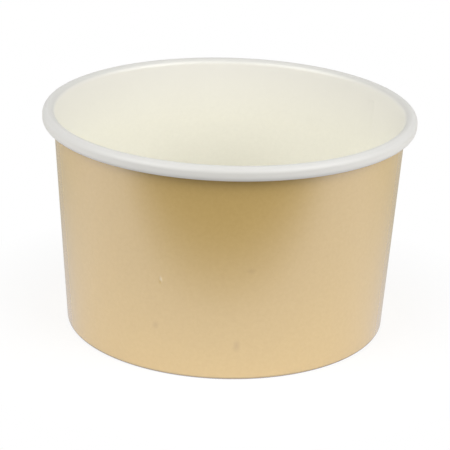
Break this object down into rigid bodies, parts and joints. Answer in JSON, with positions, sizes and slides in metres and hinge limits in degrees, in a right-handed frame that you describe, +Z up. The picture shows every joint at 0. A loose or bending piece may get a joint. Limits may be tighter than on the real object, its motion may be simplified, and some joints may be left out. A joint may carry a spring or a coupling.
{
  "type": "paper ice cream tub",
  "caption": "Round tapered paper tub with a rolled white rim, tan outside, cream inside and a base set up inside a folded foot, for serving ice cream.",
  "frame": {"origin": "centre of the foot, on the surface that the tub stands on", "axes": "+Z up along the tub's axis; -Y is the side that the picture shows; the side seam is near +X, towards +Y"},
  "size_m": [0.09, 0.09, 0.0537],
  "materials": {
    "printed_board": "satin",
    "base_board": "satin"
  },
  "bodies": {
    "root": {"side_wall": "printed_board", "base_disc": "base_board"}
  },
  "joints": []
}
